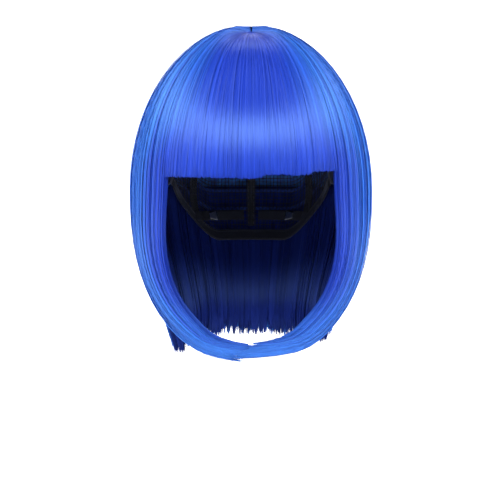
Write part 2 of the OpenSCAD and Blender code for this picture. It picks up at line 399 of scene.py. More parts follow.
net_thread = dye_cloth("net thread", (0.010, 0.012, 0.022), 300, 120)
band_cloth = dye_cloth("band cloth", (0.014, 0.017, 0.030), 160, 9)
elastic_cloth = dye_cloth("ribbed elastic", (0.018, 0.021, 0.036), 70, 0, relief=0.8, depth=0.0006)
velvet_pile = dye_cloth("velvet pile", (0.008, 0.010, 0.020), 0, 0, relief=0.6, fuzz=2600, sheen=0.5)
ribbon_cloth = dye_cloth("grosgrain ribbon", (0.020, 0.024, 0.040), 0, 60, relief=0.7)
weft_cloth = dye_cloth("weft tape", (0.012, 0.035, 0.20), 260, 2)
patch_skin = dye_cloth("skin patch", (0.26, 0.22, 0.33), 40, 60, relief=0.2, fuzz=1400)
label_satin = dye_cloth("label satin", (0.62, 0.62, 0.66), 60, 60, relief=0.2)
thread_blue = dye_cloth("blue sewing thread", (0.020, 0.060, 0.34), 3, 3, fuzz=2200)
thread_dark = dye_cloth("dark sewing thread", (0.05, 0.055, 0.08), 3, 3, fuzz=2200)
hook_metal = dye_cloth("hook metal", (0.60, 0.61, 0.64), 0, 30, relief=0.15, metal=1.0)
stay_metal = dye_cloth("stay metal", (0.45, 0.46, 0.48), 30, 0, relief=0.15, metal=1.0)
print("materials so far:", [material.name for material in bpy.data.materials])

# %% [markdown]
# ## Cutting and sewing
#
# A cloth piece starts as a flat grid, which is the cut cloth. Its points are laid on the block,
# it is given its thickness, and its edges are rounded. Seams are runs of real thread, so they
# stand up from the cloth and cast a shadow. `lay` is a rule that puts a point of the cloth, `u`
# across and `v` down, in its place. `sew` joins a piece's parts, hides the piece of the frame
# that they stand for, and hangs them on the body they move with.

# %% Cut and sew
def join(name, pieces):
    bpy.ops.object.select_all(action="DESELECT")
    for piece in pieces:
        piece.select_set(True)
    bpy.context.view_layer.objects.active = pieces[0]
    bpy.ops.object.join()
    pieces[0].name = name
    pieces[0].data.name = name
    bpy.ops.object.select_all(action="DESELECT")
    return pieces[0]


def cut(name, lay, across, down, thick, material, rounding=0.0002):
    bpy.ops.mesh.primitive_grid_add(x_subdivisions=across, y_subdivisions=down, size=1)
    piece = bpy.context.object
    piece.name = name
    for vertex in piece.data.vertices:
        vertex.co = lay(vertex.co.x + 0.5, vertex.co.y + 0.5)
    body = piece.modifiers.new("thickness", "SOLIDIFY")
    body.thickness = thick
    body.offset = 0
    bpy.ops.object.modifier_apply(modifier=body.name)
    if rounding:
        edge = piece.modifiers.new("rounding", "BEVEL")
        edge.width = rounding
        edge.segments = 2
        edge.limit_method = "ANGLE"
        bpy.ops.object.modifier_apply(modifier=edge.name)
    bpy.ops.object.mode_set(mode="EDIT")
    bpy.ops.mesh.select_all(action="SELECT")
    bpy.ops.mesh.normals_make_consistent(inside=False)
    bpy.ops.object.mode_set(mode="OBJECT")
    bpy.ops.object.shade_smooth()
    piece.data.materials.append(material)
    return piece


THREAD_RADIUS = 0.00022


def seam(runs, material, radius=THREAD_RADIUS):
    curve = bpy.data.curves.new("seam", "CURVE")
    curve.dimensions = "3D"
    curve.bevel_depth = radius
    curve.bevel_resolution = 1
    curve.use_fill_caps = True
    for run in runs:
        line = curve.splines.new("POLY")
        line.points.add(len(run) - 1)
        for point, spot in zip(line.points, run):
            point.co = (*spot, 1)
    thread = bpy.data.objects.new("seam", curve)
    bpy.context.scene.collection.objects.link(thread)
    bpy.ops.object.select_all(action="DESELECT")
    thread.select_set(True)
    bpy.context.view_layer.objects.active = thread
    bpy.ops.object.convert(target="MESH")
    thread = bpy.context.object
    if not thread.data.uv_layers:
        thread.data.uv_layers.new(name="UVMap")
    thread.data.materials.append(material)
    return thread


def stitches(lay, v, count, length=0.6):
    ends = [((k + 0.5 - length / 2) / count, (k + 0.5 + length / 2) / count) for k in range(count)]
    return [[lay(first, v), lay((first + last) / 2, v), lay(last, v)] for first, last in ends]


def sew(name, node, body, parts):
    piece = join(name, parts) if len(parts) > 1 else parts[0]
    piece.name = name
    piece.data.name = name
    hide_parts(node)
    if body:
        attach(piece, body)
    print(name, "has", len(piece.data.polygons), "faces")


def band(from_deg, to_deg, top, bottom, off):
    def lay(u, v):
        phi = mix(from_deg, to_deg, u)
        return on_cap(phi, mix(top(phi), bottom(phi), v), off)
    return lay


# %% [markdown]
# ## The net
#
# The crown of the cap is a stretch net, so that one size fits many heads. It could be a picture
# of holes on a sheet, but threads that are really there show the hair behind them. So a fine grid
# is laid on the block, and a Wireframe modifier turns each of its edges into a thread.

# %% Knit the crown net
NET_ACROSS = 150
NET_DOWN = 52
NET_THREAD = 0.0007
NET_TOP = 5
NET_UNDER_BAND = 0.8
net_lay = band(-179.3, 179.3, lambda phi: NET_TOP, lambda phi: rim(phi) - RIM_BAND - NET_UNDER_BAND,
               0.0004)
bpy.ops.mesh.primitive_grid_add(x_subdivisions=NET_ACROSS, y_subdivisions=NET_DOWN, size=1)
net = bpy.context.object
for vertex in net.data.vertices:
    vertex.co = net_lay(vertex.co.x + 0.5, vertex.co.y + 0.5)
knit = net.modifiers.new("threads", "WIREFRAME")
knit.thickness = NET_THREAD
knit.use_even_offset = False
bpy.ops.object.modifier_apply(modifier=knit.name)
net.data.materials.append(net_thread)
sew("crown_net_threads", "crown_net", "cap", [net])

# %% [markdown]
# ## The bands
#
# Firm bands close the net all round: a smooth one on the forehead, ribbed elastic round the ears,
# and velvet, which doesn't slip, at the nape. Each is one strip along the rim, with a row of
# stitches near both of its edges, inside and out.

# %% Sew the bands
BAND_THICK = 0.0016
THREAD_PROUD = 0.0001
DEGREES_PER_STITCH = 2
NEAR_TOP, NEAR_BOTTOM = 0.14, 0.86


def band_top(phi):
    return rim(phi) - RIM_BAND


def edge_band(name, node, from_deg, to_deg, material, across):
    lay = band(from_deg, to_deg, band_top, rim, BAND_THICK / 2)
    inside = band(from_deg, to_deg, band_top, rim, -THREAD_PROUD)
    outside = band(from_deg, to_deg, band_top, rim, BAND_THICK + THREAD_PROUD)
    parts = [cut(name, lay, across, 5, BAND_THICK, material, rounding=0.0004)]
    count = int(abs(to_deg - from_deg) / DEGREES_PER_STITCH)
    for face in (inside, outside):
        runs = stitches(face, NEAR_TOP, count) + stitches(face, NEAR_BOTTOM, count)
        parts.append(seam(runs, thread_dark))
    sew(name, node, "cap", parts)


edge_band("forehead_band_sewn", "forehead_band", -47, 47, band_cloth, 48)
edge_band("perimeter_band_left_elastic", "perimeter_band_left", -117, -48, elastic_cloth, 40)
edge_band("perimeter_band_right_elastic", "perimeter_band_right", 48, 117, elastic_cloth, 40)
edge_band("nape_band_velvet", "nape_band", 118, 242, velvet_pile, 60)

# %% [markdown]
# ## The ribbons
#
# Five ribbons run down the net and keep it from sagging: one at the back and two at each side.
# A ribbon is cut like a band, only long and narrow, and its stitches run down both its edges.

# %% Sew on the ribbons
RIBBON_OFF = 0.0019 - CAP_GAP
RIBBON_THICK = 0.0008
RIBBON_HALF = 2.5
RIBBON_TOP = 20
RIBBON_STITCHES = 26


def sew_ribbon(node, middle):
    def down(off):
        return band(middle - RIBBON_HALF, middle + RIBBON_HALF, lambda phi: RIBBON_TOP,
                    lambda phi: band_top(phi) - 2.5, off)

    def along(u, v):
        return down(RIBBON_OFF - THREAD_PROUD)(v, u)

    tape = cut(node, down(RIBBON_OFF + RIBBON_THICK / 2), 5, 34, RIBBON_THICK, ribbon_cloth)
    sides = stitches(along, 0.16, RIBBON_STITCHES) + stitches(along, 0.84, RIBBON_STITCHES)
    sew(f"{node}_tape", node, "cap", [tape, seam(sides, thread_dark)])


for node, middle in (("ribbon_centre", 180), ("ribbon_left_1", -140), ("ribbon_left_2", -102),
                     ("ribbon_right_1", 140), ("ribbon_right_2", 102)):
    sew_ribbon(node, middle)

# %% [markdown]
# ## The wefts
#
# A weft is a row of hair that a machine has sewn to a narrow tape with a zigzag seam. Eight of
# them run round the back and sides, one above the other, and three short ones lie at the front.
# Each tape is a strip with a zigzag of thread on both its faces.

# %% Sew on the wefts
TRACK_COUNT = 8
TRACK_OFF = 0.0033 - CAP_GAP
TRACK_THICK = 0.0011
TRACK_HALF = 1.2
ZIGZAG = 0.85
ZIGZAG_STEP = 1.6


def weft(node, from_deg, to_deg, row):
    mid = TRACK_OFF + TRACK_THICK / 2
    lay = band(from_deg, to_deg, lambda phi: row(phi) - TRACK_HALF,
               lambda phi: row(phi) + TRACK_HALF, mid)
    turns = int(abs(to_deg - from_deg) / ZIGZAG_STEP)
    runs = []
    for off in (TRACK_OFF - 0.0002, TRACK_OFF + TRACK_THICK + 0.0002):
        angles = [mix(from_deg + 0.5, to_deg - 0.5, k / turns) for k in range(turns + 1)]
        runs.append([on_cap(phi, row(phi) + (ZIGZAG if k % 2 else -ZIGZAG), off)
                     for k, phi in enumerate(angles)])
    tape = cut(node, lay, int(turns / 1.5), 2, TRACK_THICK, weft_cloth)
    sew(f"{node}_sewn", node, "cap", [tape, seam(runs, thread_blue, 0.0003)])


for k in range(1, TRACK_COUNT + 1):
    weft(f"weft_track_{k}", 52, 308,
         lambda phi, share=k / (TRACK_COUNT + 1): mix(20, rim(phi) - RIM_BAND - 2, share))
for k in range(3):
    weft(f"front_track_{k + 1}", -42, 42, lambda phi, lat=mix(24, 54, k / 2): lat)

# %% [markdown]
# ## The parting patch and the label
#
# The patch at the crown is a thin skin that hair is knotted into, so that it looks like a scalp.
# It is a small sheet, bent over the block. The label is a strip of white satin, sewn inside the
# cap at the back with a row of stitches at its top and bottom, and left blank.

# %% Lay the patch and the label
def lay_patch(u, v):
    x = mix(patch_low.x, patch_high.x, u)
    y = mix(patch_low.y, patch_high.y, v)
    off = patch_high.z - RIBBON_THICK / 2 - BLOCK.z
    girth = (x / (BLOCK.x + off)) ** 2 + (y / (BLOCK.y + off)) ** 2
    return Vector((x, y, (BLOCK.z + off) * np.sqrt(1 - girth)))


sew("skin_top_patch", "skin_top", "cap",
    [cut("patch", lay_patch, 18, 30, RIBBON_THICK, patch_skin, rounding=0.0003)])

LABEL_TOP, LABEL_BOTTOM = 79, 88
LABEL_STITCHES = 14


def on_label(off):
    return band(172, 188, lambda phi: LABEL_TOP, lambda phi: LABEL_BOTTOM, off)


satin = cut("label", on_label(-0.0006), 14, 10, 0.0003, label_satin, rounding=0)
label_face = on_label(-0.0008)
label_runs = stitches(label_face, 0.1, LABEL_STITCHES) + stitches(label_face, 0.9, LABEL_STITCHES)
sew("size_label_satin", "size_label", "cap", [satin, seam(label_runs, thread_dark, 0.00015)])

# %% [markdown]
# ## Ear tabs
#
# The ear tabs hold the cap in front of the ears, and a strip of soft metal in each keeps the bend
# that it is given. A tab is a piece of velvet that narrows towards its end, with a seam along its
# border. Tab and strip move together, so both ride on the tab's own body.

# %% Make the ear tabs
TAB_AT = 65
TAB_WIDE, TAB_TAPER, TAB_LONG = 24, 13, 14
TAB_BELOW_RIM = 1.2
TAB_THICK = 0.0014
STAY_WIDE, STAY_LONG = 3, 10
STAY_BELOW_RIM = 2.5
STAY_OFF = 0.002
STAY_THICK = 0.0006
SEAM_INSET = 0.86
for sign, word in ((-1, "left"), (1, "right")):
    def lay_tab(u, v, off=0.0):
        phi = sign * (TAB_AT + (u - 0.5) * (TAB_WIDE - TAB_TAPER * v * v))
        return on_head(phi, rim(phi) + TAB_BELOW_RIM + TAB_LONG * v, CAP_GAP + TAB_THICK / 2 + off)

    def lay_stay(u, v):
        lat = rim(TAB_AT) + STAY_BELOW_RIM + STAY_LONG * v
        return on_head(sign * (TAB_AT + (u - 0.5) * STAY_WIDE), lat, CAP_GAP + STAY_OFF)

    shares = [k / 12 for k in range(13)]
    sides_and_end = ([(0, k) for k in shares], [(k, 1) for k in shares], [(1, k) for k in shares])
    border = [[lay_tab(mix(0.5, u, SEAM_INSET), mix(0.5, v, SEAM_INSET), 0.0008) for u, v in run]
              for run in sides_and_end]
    sew(f"ear_tab_{word}_velvet", f"ear_tab_{word}", f"ear_tab_{word}",
        [cut("tab", lay_tab, 18, 14, TAB_THICK, velvet_pile, rounding=0.0004), seam(border, thread_dark)])
    sew(f"ear_stay_{word}_strip", f"ear_stay_{word}", f"ear_tab_{word}",
        [cut("stay", lay_stay, 4, 14, STAY_THICK, stay_metal)])

# %% [markdown]
# ## Hooks and straps
#
# At the nape a hook on a short elastic drops into one of three loops, which sets the size of the
# cap. The loops are sewn to the cap and stay. The hook moves along the nape, and the elastic
# stretches between the two; it rides on no body.

# %% Make the hooks and straps
STRAP_Z = -0.045
STRAP_WIDE = 0.008
ARC_Y = 0.0249
ARC_R = 0.0596
ARC_SLOPE = 0.4
LOOP_MID = 34
LOOP_STEP = 10
LOOP_BOW = 0.00035
TAPE_OFF = 0.0024
TAPE_HALF = 16
TAPE_THICK = 0.0005
LOOP_THICK = 0.0004
HOOK_OFF = 0.0004
HOOK_BACK, HOOK_FRONT = 4, 3
HOOK_THICK = 0.0008
STRAP_FROM, STRAP_GAP = 6, 4.5
STRAP_THICK = 0.0007


def on_nape(turn, z, off):
    r = ARC_R + ARC_SLOPE * (z - STRAP_Z) + off
    return Vector((r * np.sin(np.radians(turn)), ARC_Y + r * np.cos(np.radians(turn)), z))


def strip(from_deg, to_deg, off, narrow=1.0, bow=0.0):
    def lay(u, v):
        wide = STRAP_WIDE / 2 * (2 * v - 1) * mix(1, narrow, u)
        return on_nape(mix(from_deg, to_deg, u), STRAP_Z + wide, off - bow * np.sin(np.pi * v))
    return lay


for sign, word in ((-1, "left"), (1, "right")):
    ends = sign * (LOOP_MID - TAPE_HALF), sign * (LOOP_MID + TAPE_HALF)
    tape = [cut("tape", strip(*ends, TAPE_OFF + TAPE_THICK / 2), 30, 6, TAPE_THICK, elastic_cloth)]
    for k in (-1, 0, 1):
        spot = LOOP_MID + k * LOOP_STEP
        bridge = strip(sign * (spot - 1), sign * (spot + 1), TAPE_OFF - LOOP_BOW, bow=LOOP_BOW)
        tape.append(cut("loop", bridge, 3, 16, LOOP_THICK, elastic_cloth, rounding=0.0001))
    sew(f"loop_tape_{word}_elastic", f"loop_tape_{word}", "cap", tape)
    ends = sign * (LOOP_MID - HOOK_BACK), sign * (LOOP_MID + HOOK_FRONT)
    hook = cut("hook", strip(*ends, HOOK_OFF + HOOK_THICK / 2, narrow=0.6), 10, 8, HOOK_THICK,
               hook_metal, rounding=0.0003)
    sew(f"strap_hook_{word}_metal", f"strap_hook_{word}", f"hook_{word}", [hook])
    ends = sign * STRAP_FROM, sign * (LOOP_MID - STRAP_GAP)
    strap = cut("strap", strip(*ends, HOOK_OFF + STRAP_THICK / 2), 40, 6, STRAP_THICK, elastic_cloth)
    sew(f"elastic_strap_{word}_ribbed", f"elastic_strap_{word}", None, [strap])
    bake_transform(strap)

# %% [markdown]
# ## How a strand runs
#
# Real hair could be grown by a particle system, but a bob is combed, and each strand's path is
# known: it leaves the skin at the crown, follows the dome to the waist and then hangs. So a path
# is written as a rule. `phi` is the direction that a strand leaves the crown in, from the front
# round to the back, and `t` runs along it from root (0) over the waist (0.5) to tip (1). In the
# fringe, which ends above the waist, it runs from root to cut. `depth` is how far a strand lies
# under the surface. Roots sit on the parting patch, so a strand rises from it before it falls.

# %% Run the strands over the dome
HEAD_HALF = 0.0838
HEAD_REACH = 0.1018
BACK_POWER = 0.92
ROOT_MARGIN = 0.95
ROOT_DOME = 0.108


def on_dome(phi, lat, depth):
    middle = (hair_back - hair_front) / 2
    reach = (hair_back + hair_front) / 2 - depth
    power = mix(1, BACK_POWER, smooth((np.abs(phi) - np.radians(95)) / np.radians(40)))
    across = np.clip(np.sin(lat), 0, 1) ** power
    up = np.clip(np.cos(lat), 0, 1) ** power
    x = (hair_half - depth) * across * np.sin(phi)
    y = mix(CROWN_Y, middle - reach * np.cos(phi), across)
    return points(x, y, WAIST + (hair_top - WAIST - depth) * up)


def root_reach(phi):
    forward = np.cos(phi)
    room_y = np.where(forward > 0, CROWN_Y - patch_low.y, patch_high.y - CROWN_Y)
    sine_y = ROOT_MARGIN * room_y / (ROOT_DOME * np.maximum(np.abs(forward), 0.01))
    sine_x = ROOT_MARGIN * patch_high.x / (hair_half * np.maximum(np.abs(np.sin(phi)), 0.01))
    return np.arcsin(np.clip(np.minimum(sine_x, sine_y), 0.02, 0.6))


def from_root(phi, lat, depth):
    spot = on_dome(phi, lat, depth)
    girth = (spot[..., 0] / HEAD_HALF) ** 2 + (spot[..., 1] / HEAD_REACH) ** 2
    ground = patch_high.z * np.sqrt(np.clip(1 - girth, 0.01, 1))
    front = smooth((np.radians(60) - np.abs(phi)) / np.radians(45))
    back = smooth((np.abs(phi) - np.radians(80)) / np.radians(40))
    rise = smooth((lat - lat[:, :1] + np.radians(2 + 2 * back)) / np.radians(13 + 25 * front - 7 * back))
    spot[..., 2] = mix(np.minimum(ground, spot[..., 2]), spot[..., 2], rise)
    return spot


fringe_turn = np.arccos((fringe_cut - WAIST) / (hair_top - WAIST))


def fringe_path(phi, t, depth):
    return from_root(phi, fringe_turn * t, depth)


print("the fringe turns", round(float(np.degrees(fringe_turn)), 1), "degrees from crown to cut")

# %% [markdown]
# ## Strands that hang
#
# Below the waist a side lock swings in under the chin, like a quarter of an ellipse, and its tips
# go a little past the middle, the right lock's above the left's. Strands near the face swell out
# round the cheek. The back hair draws in to the neck and falls straight to the collar. Its
# corners, beside the locks, are ragged, and the left one hangs lower as a small tuft.

# %% Hang the locks and the back hair
FACE_POWER = 0.85
SIDE_POWER = 0.87
FACE_SWELL = 0.004
FACE_TIPS_ABOVE = 0.012
FACE_TIPS_Y, SIDE_TIPS_Y = -0.070, -0.080
FACE_BULGE, SIDE_BULGE = 0.013, 0.005
TIPS_PAST = 0.011
RIGHT_PAST = 0.008
RIGHT_LIFT = 0.0035
BACK_DRAW = 0.3
BACK_FORWARD = 0.028
RIGHT_CORNER = 0.003
LEFT_CORNER = -0.006


def lock_path(phi, t, depth):
    side = np.sign(phi)
    angle = np.abs(phi)
    back = np.clip((angle - np.radians(FRINGE_EDGE)) / np.radians(45), 0, 1)
    low = np.clip(2 * t - 1, 0, 1)
    turn = np.radians(89.6) * low
    power = mix(FACE_POWER, SIDE_POWER, back)
    thin = depth * mix(1, 0.5, low)
    drop = WAIST - mix(lock_tip + FACE_TIPS_ABOVE, lock_tip, back) - thin
    start = on_dome(angle, np.pi / 2, thin)
    swell = mix(FACE_SWELL, 0, back) * np.sin(np.pi * np.minimum(1, low / 0.6))
    past = (TIPS_PAST + np.where(phi > 0, RIGHT_PAST * back, 0)) * smooth((low - 0.75) / 0.25)
    x = side * (start[..., 0] * np.cos(turn) ** power + swell - past)
    end_y = mix(FACE_TIPS_Y, SIDE_TIPS_Y, back) + thin
    bulge = mix(FACE_BULGE, SIDE_BULGE, back)
    y = mix(start[..., 1], end_y, smooth(low)) - bulge * np.sin(np.pi * low)
    lifted = np.where(phi > 0, RIGHT_LIFT, 0) * smooth((low - 0.6) / 0.4)
    hanging = points(x, y, WAIST - drop * np.sin(turn) ** power + lifted)
    over = from_root(phi, np.pi * np.minimum(t, 0.5), depth)
    return np.where((t < 0.5)[..., None], over, hanging)


def back_path(phi, t, depth):
    angle = np.abs(phi)
    low = np.clip(2 * t - 1, 0, 1)
    start = on_dome(phi, np.pi / 2, depth * mix(1, 0.8, low))
    near_lock = smooth((np.radians(135) - angle) / np.radians(30))
    ragged = near_lock * np.sin(40 * angle)
    flick = mix(0.03, -0.04, near_lock) * smooth((low - 0.8) / 0.2)
    draw = 1 - (BACK_DRAW + 0.03 * ragged) * smooth(low) + flick
    share = smooth((np.radians(150) - angle) / np.radians(50))
    share = share * smooth((angle - np.radians(60)) / np.radians(45))
    y = start[..., 1] * draw - BACK_FORWARD * share * smooth(low)
    left_tuft = smooth((np.radians(148) - angle) / np.radians(22))
    corner = np.where(phi > 0, RIGHT_CORNER * near_lock, LEFT_CORNER * left_tuft)
    z = mix(WAIST, back_tip + corner, low)
    hanging = points(start[..., 0] * draw, y, z)
    over = from_root(phi, np.pi * np.minimum(t, 0.5), depth)
    return np.where((t < 0.5)[..., None], over, hanging)


# %% [markdown]
# ## A strand is a ribbon
#
# A fibre that is modelled as a round tube has many times the faces of a flat ribbon, and at this
# distance both look alike. The ribbons of a curtain are made into one mesh. Each point of it
# keeps three values for the fibre's colour: `tone` for its shade, which is random from strand to
# strand and also holds painted shade for strands that lie under others or in the crease, `along`
# for its place between root and tip, and `turn` for how much painted side light it gets, which
# grows with how far round the head it lies and changes with how far down.

# %% Make ribbons
def unit(v):
    return v / np.maximum(np.linalg.norm(v, axis=-1, keepdims=True), 1e-9)


def ribbon_mesh(name, middle, side, tone, along, turn):
    strands, steps, _ = middle.shape
    both = np.stack([middle - side, middle + side], axis=2).astype(np.float32)
    first = np.arange(strands)[:, None] * steps + np.arange(steps - 1)[None, :]
    quads = np.stack([2 * first, 2 * first + 1, 2 * first + 3, 2 * first + 2], axis=-1)
    quads = quads.reshape(-1, 4).astype(np.int32)
    mesh = bpy.data.meshes.new(name)
    mesh.vertices.add(both.size // 3)
    mesh.vertices.foreach_set("co", both.ravel())
    mesh.loops.add(quads.size)
    mesh.loops.foreach_set("vertex_index", quads.ravel())
    mesh.polygons.add(len(quads))
    mesh.polygons.foreach_set("loop_start", np.arange(0, quads.size, 4, dtype=np.int32))
    mesh.polygons.foreach_set("use_smooth", np.ones(len(quads), bool))
    for label, values in (("tone", tone), ("along", along), ("turn", turn)):
        attribute = mesh.attributes.new(label, "FLOAT", "POINT")
        attribute.data.foreach_set("value", np.repeat(values.astype(np.float32).ravel(), 2))
    uv = mesh.uv_layers.new(name="strand")
    corner = np.stack([np.tile([0.0, 1.0], both.size // 6), np.repeat(along.ravel(), 2)], axis=-1)
    uv.data.foreach_set("uv", corner[quads.ravel()].astype(np.float32).ravel())
    mesh.update()
    piece = bpy.data.objects.new(name, mesh)
    bpy.context.scene.collection.objects.link(piece)
    return piece


# %% [markdown]
# ## Combing a curtain
#
# Each strand gets its own depth, width, roll and tone, and strands near each other are drawn
# together into locks. A few stray out of line, and a crease runs down where the side hair leaves
# the temple; its strands are darkened with painted shade. Strands that lie deeper, and the wide
# layers under the fine ones, are darkened with painted shade too. The random numbers come from a
# seed, so the wig is combed alike each time.

# %% Comb a curtain
MOST_PULL = 0.12
LOCK_DEPTH = 0.00012
STRAY_SHARE = 0.03
STRAY_LEAST, STRAY_MOST = 0.0003, 0.0020
CREASE_AT, CREASE_WIDE, CREASE_DEEP, CREASE_PAINTED_SHADE = 62, 1.4, 0.0016, 0.9
SIDE_NOISE = 0.35


def comb(name, path, count, steps, from_deg, to_deg, depths, seed, locks=60, width=0.0008,
         tip_spread=0.02, start=None, roll=0.6, painted_shade_shift=0.0, early=None, point=0.08,
         reach=1.0):
    random = np.random.default_rng(seed)
    low, high = np.radians(from_deg), np.radians(to_deg)
    phi = random.uniform(low, high, count)
    centres = np.sort(random.uniform(low, high, locks))
    lock = np.abs(phi[:, None] - centres[None, :]).argmin(axis=1)
    pull = random.uniform(0.0, MOST_PULL, count)
    depth = mix(depths[0], depths[1], random.beta(1.1, 1.5, count))
    depth = depth + random.normal(0, LOCK_DEPTH, locks)[lock]
    end = 1 - np.abs(random.normal(0, tip_spread, count))
    end = end - tip_spread * random.beta(1, 3, locks)[lock]
    if early is not None:
        end = end - early(phi)
    begin = start if start is not None else root_reach(phi) * random.uniform(0.04, 1, count) / np.pi
    begin = (begin + 0 * end)[:, None]
    t = mix(begin, end[:, None], np.linspace(0, 1, steps)[None, :])
    wave = random.normal(0, np.radians(0.3), (count, 1))
    wave = wave * np.sin(2 * np.pi * (random.uniform(0.4, 1.2, (count, 1)) * t
                                      + random.uniform(0, 1, (count, 1))))
    angle = mix(phi[:, None], centres[lock][:, None], pull[:, None] * smooth(t * 1.2)) + wave
    angle = np.clip(angle, low, high)
    astray = random.uniform(0, 1, count) < STRAY_SHARE
    stray = astray * random.uniform(STRAY_LEAST, STRAY_MOST, count)
    crease = np.exp(-((np.degrees(np.abs(phi)) - CREASE_AT) / CREASE_WIDE) ** 2)[:, None]
    crease = crease * smooth((t - 0.3) / 0.12) * (1 - smooth((t - 0.6) / 0.15))
    deep = depth[:, None] - stray[:, None] * np.sin(np.pi * t) + CREASE_DEEP * crease
    middle = path(angle, t, deep)
    ahead = unit(np.gradient(middle, axis=1))
    beside = unit(path(angle + np.radians(0.5), t, deep) - middle)
    beside = unit(beside - ahead * (beside * ahead).sum(-1, keepdims=True))
    outward = unit(np.cross(beside, ahead))
    tilt = random.uniform(-roll, roll, (count, 1)) + random.normal(0, 0.35, (count, 1)) * t
    taper = np.clip((1 - np.linspace(0, 1, steps)) / point, 0.25, 1)[None, :]
    taper = taper * np.clip(0.45 + 3 * t, 0, 1)
    half = 0.5 * width * random.uniform(0.6, 1.3, (count, 1)) * taper
    side = (beside * np.cos(tilt)[..., None] + outward * np.sin(tilt)[..., None]) * half[..., None]
    tone = 0.7 * random.uniform(0, 1, count) + 0.3 * random.uniform(0, 1, locks)[lock]
    # Deeper strands are darkened, and a layer's shade shift is added: painted shade under the outer
    # strands.
    under = (depth - depths[0]) / max(depths[1] - depths[0], 1e-6)
    tone = np.clip(tone - 0.3 * under + 0.1 + painted_shade_shift, 0, 1)
    down = reach * t
    # Here `turn` picks the brighter side blue, which is painted side light: it grows the further round
    # the head a strand lies, is least halfway down, and is spread at random by lock.
    fall = smooth((down - 0.32) / 0.14) * (1 - 0.8 * smooth((down - 0.64) / 0.2))
    turn = smooth((np.abs(phi)[:, None] - np.radians(mix(16, 46, fall))) / np.radians(mix(50, 36, fall)))
    turn = np.clip(turn * (1 + SIDE_NOISE * random.normal(0, 1, locks)[lock][:, None]), 0, 1)
    # Strands in the crease are darkened: painted shade in the crease.
    tone = np.clip(tone[:, None] - CREASE_PAINTED_SHADE * crease, -0.6, 1)
    return ribbon_mesh(name, middle, side, tone, t, turn)


# %% [markdown]
# ## Fibre
#
# Dyed fibre is plastic: the dye gives the blue, and the smooth skin gives a clear shine. The
# shine stretches across the strands, so the material is anisotropic and its tangent runs
# across each ribbon. `turn` picks a colour between the deep blue in front and the brighter blue
# at the sides, which is painted side light: the fibre is one blue, and the sides are painted
# lighter where the side lamps and grazing light fall. `tone` shades it from strand to strand, at
# random and with painted shade under other strands and in the crease, and near the root it fades
# to a duller blue, where the skin shows between the strands.

# %% Mix the strand colour
def strand_tones():
    group, given, result = new_group(
        "strand tones",
        [("Front", "NodeSocketColor", (0.024, 0.058, 0.50, 1)),
         ("Side", "NodeSocketColor", (0.036, 0.125, 0.56, 1)),
         ("Root", "NodeSocketColor", (0.06, 0.08, 0.33, 1)),
         ("Root Length", "NodeSocketFloat", 0.16)],
        [("Color", "NodeSocketColor")])
    link = group.links.new
    fields = {}
    for label in ("tone", "along", "turn"):
        fields[label] = group.nodes.new("ShaderNodeAttribute")
        fields[label].attribute_name = label
    # This mix blends the front blue with the brighter side blue by `turn`; the side blue is painted side
    # light.
    dye_and_painted_sidelight = group.nodes.new("ShaderNodeMix")
    dye_and_painted_sidelight.data_type = "RGBA"
    # The tone scales the colour: random strand tone, and painted shade where the tone was lowered.
    tone_and_painted_shade = group.nodes.new("ShaderNodeMapRange")
    tone_and_painted_shade.inputs["From Min"].default_value = -1
    tone_and_painted_shade.inputs["To Min"].default_value = 0.4
    tone_and_painted_shade.inputs["To Max"].default_value = 1.20
    shade = group.nodes.new("ShaderNodeMix")
    shade.data_type = "RGBA"
    shade.blend_type = "MULTIPLY"
    shade.inputs["Factor"].default_value = 1
    shade.clamp_result = False
    near_root = group.nodes.new("ShaderNodeMapRange")
    near_root.interpolation_type = "SMOOTHSTEP"
    near_root.inputs["To Min"].default_value = 0.3
    near_root.inputs["To Max"].default_value = 0
    rooted = group.nodes.new("ShaderNodeMix")
    rooted.data_type = "RGBA"
    link(fields["turn"].outputs["Fac"], dye_and_painted_sidelight.inputs["Factor"])
    link(given.outputs["Front"], dye_and_painted_sidelight.inputs["A"])
    link(given.outputs["Side"], dye_and_painted_sidelight.inputs["B"])
    link(fields["tone"].outputs["Fac"], tone_and_painted_shade.inputs["Value"])
    link(dye_and_painted_sidelight.outputs["Result"], shade.inputs["A"])
    link(tone_and_painted_shade.outputs["Result"], shade.inputs["B"])
    link(fields["along"].outputs["Fac"], near_root.inputs["Value"])
    link(given.outputs["Root Length"], near_root.inputs["From Max"])
    link(near_root.outputs["Result"], rooted.inputs["Factor"])
    link(shade.outputs["Result"], rooted.inputs["A"])
    link(given.outputs["Root"], rooted.inputs["B"])
    link(rooted.outputs["Result"], result.inputs["Color"])
    return group


strand_tone_group = strand_tones()


def fibre(name, front, side, shine=1.0):
    material = bpy.data.materials.new(name)
    material.use_nodes = True
    nodes, link = material.node_tree.nodes, material.node_tree.links.new
    skin = nodes["Principled BSDF"]
    tones = nodes.new("ShaderNodeGroup")
    tones.node_tree = strand_tone_group
    tones.inputs["Front"].default_value = (*front, 1)
    # The second colour is the brighter blue at the sides, which is painted side light.
    tones.inputs["Side"].default_value = (*side, 1)
    across = nodes.new("ShaderNodeTangent")
    across.direction_type = "UV_MAP"
    across.uv_map = "strand"
    link(tones.outputs["Color"], skin.inputs["Base Color"])
    link(across.outputs["Tangent"], skin.inputs["Tangent"])
    skin.inputs["Roughness"].default_value = 0.5
    skin.inputs["Anisotropic"].default_value = 1.0
    skin.inputs["IOR"].default_value = 1.6
    skin.inputs["Specular IOR Level"].default_value = shine
    skin.inputs["Specular Tint"].default_value = (0.31, 0.55, 1, 1)
    return material


# The outer fibre's first blue is the dye; its second, brighter blue is painted side light.
outer_fibre = fibre("outer fibre", (0.009, 0.032, 0.38), (0.024, 0.135, 0.56))
